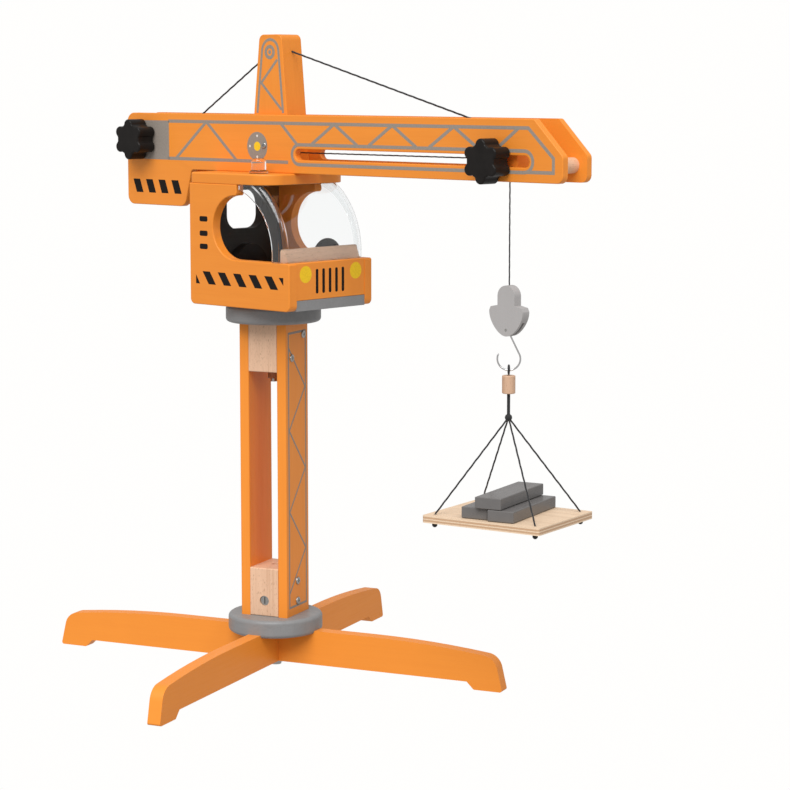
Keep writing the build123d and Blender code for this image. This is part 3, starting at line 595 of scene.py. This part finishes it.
def rounded_bar(centre, width, height, corner):
    """A rounded rectangle."""
    x, y = width / 2 - corner, height / 2 - corner
    outline = []
    for sx, sy, start in ((1, 1, 0), (-1, 1, 90), (-1, -1, 180), (1, -1, 270)):
        outline += arc_points((centre[0] + sx * x, centre[1] + sy * y), corner, start, start + 90, 5)
    return outline


def slanted(left, top, bottom, width, lean):
    """A parallelogram whose top edge starts at left and whose bottom edge is moved by lean."""
    return [(left, top), (left + width, top), (left + width + lean, bottom), (left + lean, bottom)]


FACES = {"near": (-1, (1, 0, 0)), "far": (1, (-1, 0, 0))}
# Distance of each printed face from the middle plane, in metres.
JIB_HALF = 0.01835
CAB_HALF = 0.0509
MAST_HALF = 0.012
TOWER_HALF = 0.0227

# From here to the end of the markings everything is in millimetres.
LINE = 2.8
MAST_LINE = 2.4
JIB_TOP = 483.6
JIB_FOOT = 450.5
JIB_REAR = -113.5
SLOT_Z = 457.3
SLOT_ENDS = (50.6, 298.4)
SLOT_BORDER = 8.4
BRACE_FOOT = SLOT_Z + 9
BRACE_HALF = 26.5
BRACE_PEAKS = (92.2, 158.1, 224.9)
HUB = (0, 463.4)
HUB_RADIUS = 12.4
HUB_CENTRE_RADIUS = 4.0
HUB_DOTS = 4
HUB_DOT_REACH = 9
HUB_DOT_RADIUS = 1.1
LOBE_STRIPES = (-161.5, -144.6, -127.8, -110.5)
VENT_HEIGHTS = (400.8, 388.3, 376.9)
STRIPE_START = -35.8
STRIPE_PITCH = 19.1
PULLEY = (9.6, 544.0)
LAMP_HEIGHT = 357
LAMP_RADIUS = 7.2
LAMP_SIDE = 30.8
GRILLE_START = -17.0
GRILLE_PITCH = 7.95
TOWER_BORDER = (58.0, 301.5)
TOWER_BORDER_HALF = 16.6
ZIGZAG_TOP = 288.3
ZIGZAG_PITCH = 36.2
ZIGZAG_HALF = TOWER_BORDER_HALF - 0.8

for side, (sign, right) in FACES.items():
    def at(*points, flip=-sign):
        """X runs to the right on the near faces and to the left on the far ones."""
        return [(flip * x, z) for x, z in points]

    jib_face = (0, sign * JIB_HALF, 0)
    jib = Print(f"jib_print_{side}", "upper_works", "grey_wood", jib_face, right, (0, 0, 1))
    jib.shapes([at((-160, 449.2), (-113, 449.2), (-113, 484), (-160, 484))], ink_grey)
    nose_foot = JIB_FOOT - 1.2
    nose = at((JIB_REAR, JIB_TOP), (302.0, JIB_TOP), (327.3, 460.5), (327.3, nose_foot), (300, nose_foot))
    jib.lines([nose], LINE, ink_grey)
    jib.lines([at((JIB_REAR, JIB_FOOT), (37.5, JIB_FOOT))], LINE, ink_grey)
    jib.lines([at((-104, JIB_FOOT), (-64, JIB_TOP), (-25.8, JIB_FOOT))], LINE, ink_grey, LAYER)
    slot_loop = at(
        *arc_points((SLOT_ENDS[0], SLOT_Z), SLOT_BORDER, 270, 90),
        *arc_points((SLOT_ENDS[1], SLOT_Z), SLOT_BORDER, 90, -90),
    )
    jib.lines([slot_loop + slot_loop[:1]], LINE, ink_grey, 2 * LAYER)
    jib.lines([at((28.7, JIB_TOP), (48.5, SLOT_Z + SLOT_BORDER))], LINE, ink_grey, LAYER)
    braces = [
        at((peak - BRACE_HALF, BRACE_FOOT), (peak, JIB_TOP), (peak + BRACE_HALF, BRACE_FOOT))
        for peak in BRACE_PEAKS
    ]
    jib.lines(braces, LINE, ink_grey, LAYER)
    jib.lines([at((269, BRACE_FOOT), (292.4, JIB_TOP))], LINE, ink_grey, LAYER)
    hub = at(HUB)[0]
    jib.shapes([disc_shape(hub, HUB_RADIUS)], ink_grey, 3 * LAYER)
    jib.shapes([disc_shape(hub, HUB_CENTRE_RADIUS, 24)], ink_yellow, 4 * LAYER)
    dots = [disc_shape(place, HUB_DOT_RADIUS, 12) for place in disc_shape(hub, HUB_DOT_REACH, HUB_DOTS)]
    jib.shapes(dots, ink_pale, 4 * LAYER)
    jib.shapes([at(*slanted(left, 431, 419, 9, 4.4)) for left in LOBE_STRIPES], ink_black)

    cab_face = (0, sign * CAB_HALF, 0)
    cab = Print(f"cab_print_{side}", "upper_works", "orange_wood", cab_face, right, (0, 0, 1))
    cab.shapes([rounded_bar(at((-34, z))[0], 10, 4.6, 1.5) for z in VENT_HEIGHTS], ink_black)
    starts = [STRIPE_START + STRIPE_PITCH * k for k in range(5)]
    bands = [at(*slanted(left, 355.3, 344.3, 9.1, 7.6)) for left in starts]
    bands.append(at((-44.2, 352.2), (-44.2, 344.3), (-39.2, 344.3)))
    bands.append(at((58.0, 354.8), (63.5, 354.8), (63.5, 348.2)))
    cab.shapes(bands, ink_black)

    mast_face = (0, sign * MAST_HALF, 0)
    mast = Print(f"mast_print_{side}", "upper_works", "grey_wood", mast_face, right, (0, 0, 1))
    arch = at((-5.9, 492), *arc_points((10.2, 544.8), 9.9, 174, 5), (25.4, 492))
    mast.lines([arch], MAST_LINE, ink_grey)
    mast.lines([at((18.6, 537.5), (-1.0, 517.8), (23.6, 495.0))], MAST_LINE, ink_grey, LAYER)
    pulley = at(PULLEY)[0]
    mast.shapes(ring_shapes(pulley, 6.2, 3.2), ink_grey, LAYER)
    mast.shapes([disc_shape(pulley, 1.7, 20)], ink_grey, LAYER)

front_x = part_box("cab_front_panel")[1].x
front = Print("cab_front_print", "upper_works", "orange_wood", (front_x, 0, 0), (0, 1, 0), (0, 0, 1))
lamps = [disc_shape((y, LAMP_HEIGHT), LAMP_RADIUS) for y in (-LAMP_SIDE, LAMP_SIDE)]
front.shapes(lamps, ink_yellow)
bars = [rounded_bar((GRILLE_START + GRILLE_PITCH * k, 350.5), 3.1, 21, 1.3) for k in range(5)]
front.shapes(bars, ink_black)

# Tower boards: a border and a zigzag on each outer face.
for sign, name in ((1, "right"), (-1, "left")):
    out = Vector((cos(BASE_TURN), sin(BASE_TURN), 0)) * sign
    right = Vector((0, 0, 1)).cross(out)
    tower = Print(f"tower_print_{name}", "base", "grey_wood", out * TOWER_HALF, right, (0, 0, 1))
    (low, high), half = TOWER_BORDER, TOWER_BORDER_HALF
    tower.lines([[(-half, low), (-half, high), (half, high), (half, low), (-half, low)]], 2.0, ink_grey)
    zigzag = [(ZIGZAG_HALF * (-1) ** (k + 1), ZIGZAG_TOP - ZIGZAG_PITCH * k) for k in range(7)]
    tower.lines([zigzag], 1.8, ink_grey, LAYER)

# ---- light --------------------------------------------------------------------------------------
BACKDROP_LIGHT = 0.55
# The backdrop is plain white, straight on and through the clear parts, but lights the crane only gently.
world = bpy.data.worlds.new("studio")
scene.world = world
world.use_nodes = True
sky = world.node_tree
backdrop = sky.nodes["Background"]
backdrop.inputs["Color"].default_value = (1.0, 0.995, 0.985, 1)
seen = sky.nodes.new("ShaderNodeLightPath")
strength = sky.nodes.new("ShaderNodeMapRange")
strength.inputs["To Min"].default_value = BACKDROP_LIGHT
strength.inputs["To Max"].default_value = 1.0
either = sky.nodes.new("ShaderNodeMath")
either.operation = "MAXIMUM"
sky.links.new(seen.outputs["Is Camera Ray"], either.inputs[0])
sky.links.new(seen.outputs["Is Transmission Ray"], either.inputs[1])
sky.links.new(either.outputs[0], strength.inputs["Value"])
sky.links.new(strength.outputs["Result"], backdrop.inputs["Strength"])


def aimed(name, kind, place, energy, target=(0.08, 0, 0.3)):
    """A lamp that points from its place at the crane."""
    light = bpy.data.lights.new(name, kind)
    light.energy = energy
    lamp = bpy.data.objects.new(name, light)
    scene.collection.objects.link(lamp)
    lamp.location = place
    lamp.rotation_euler = (Vector(target) - Vector(place)).to_track_quat("-Z", "Y").to_euler()
    return light


aimed("key", "SUN", (0.62, -1.2, 1.75), 2.6).angle = radians(45)
aimed("strip", "AREA", (1.7, -0.3, 1.5), 5.0).size = 0.5

scene.view_settings.view_transform = "Standard"
scene.view_settings.look = "None"
scene.cycles.use_denoising = True
scene.cycles.max_bounces = 10
scene.cycles.transmission_bounces = 10
scene.cycles.transparent_max_bounces = 12
scene.cycles.caustics_refractive = True
scene.cycles.caustics_reflective = False

low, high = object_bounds()
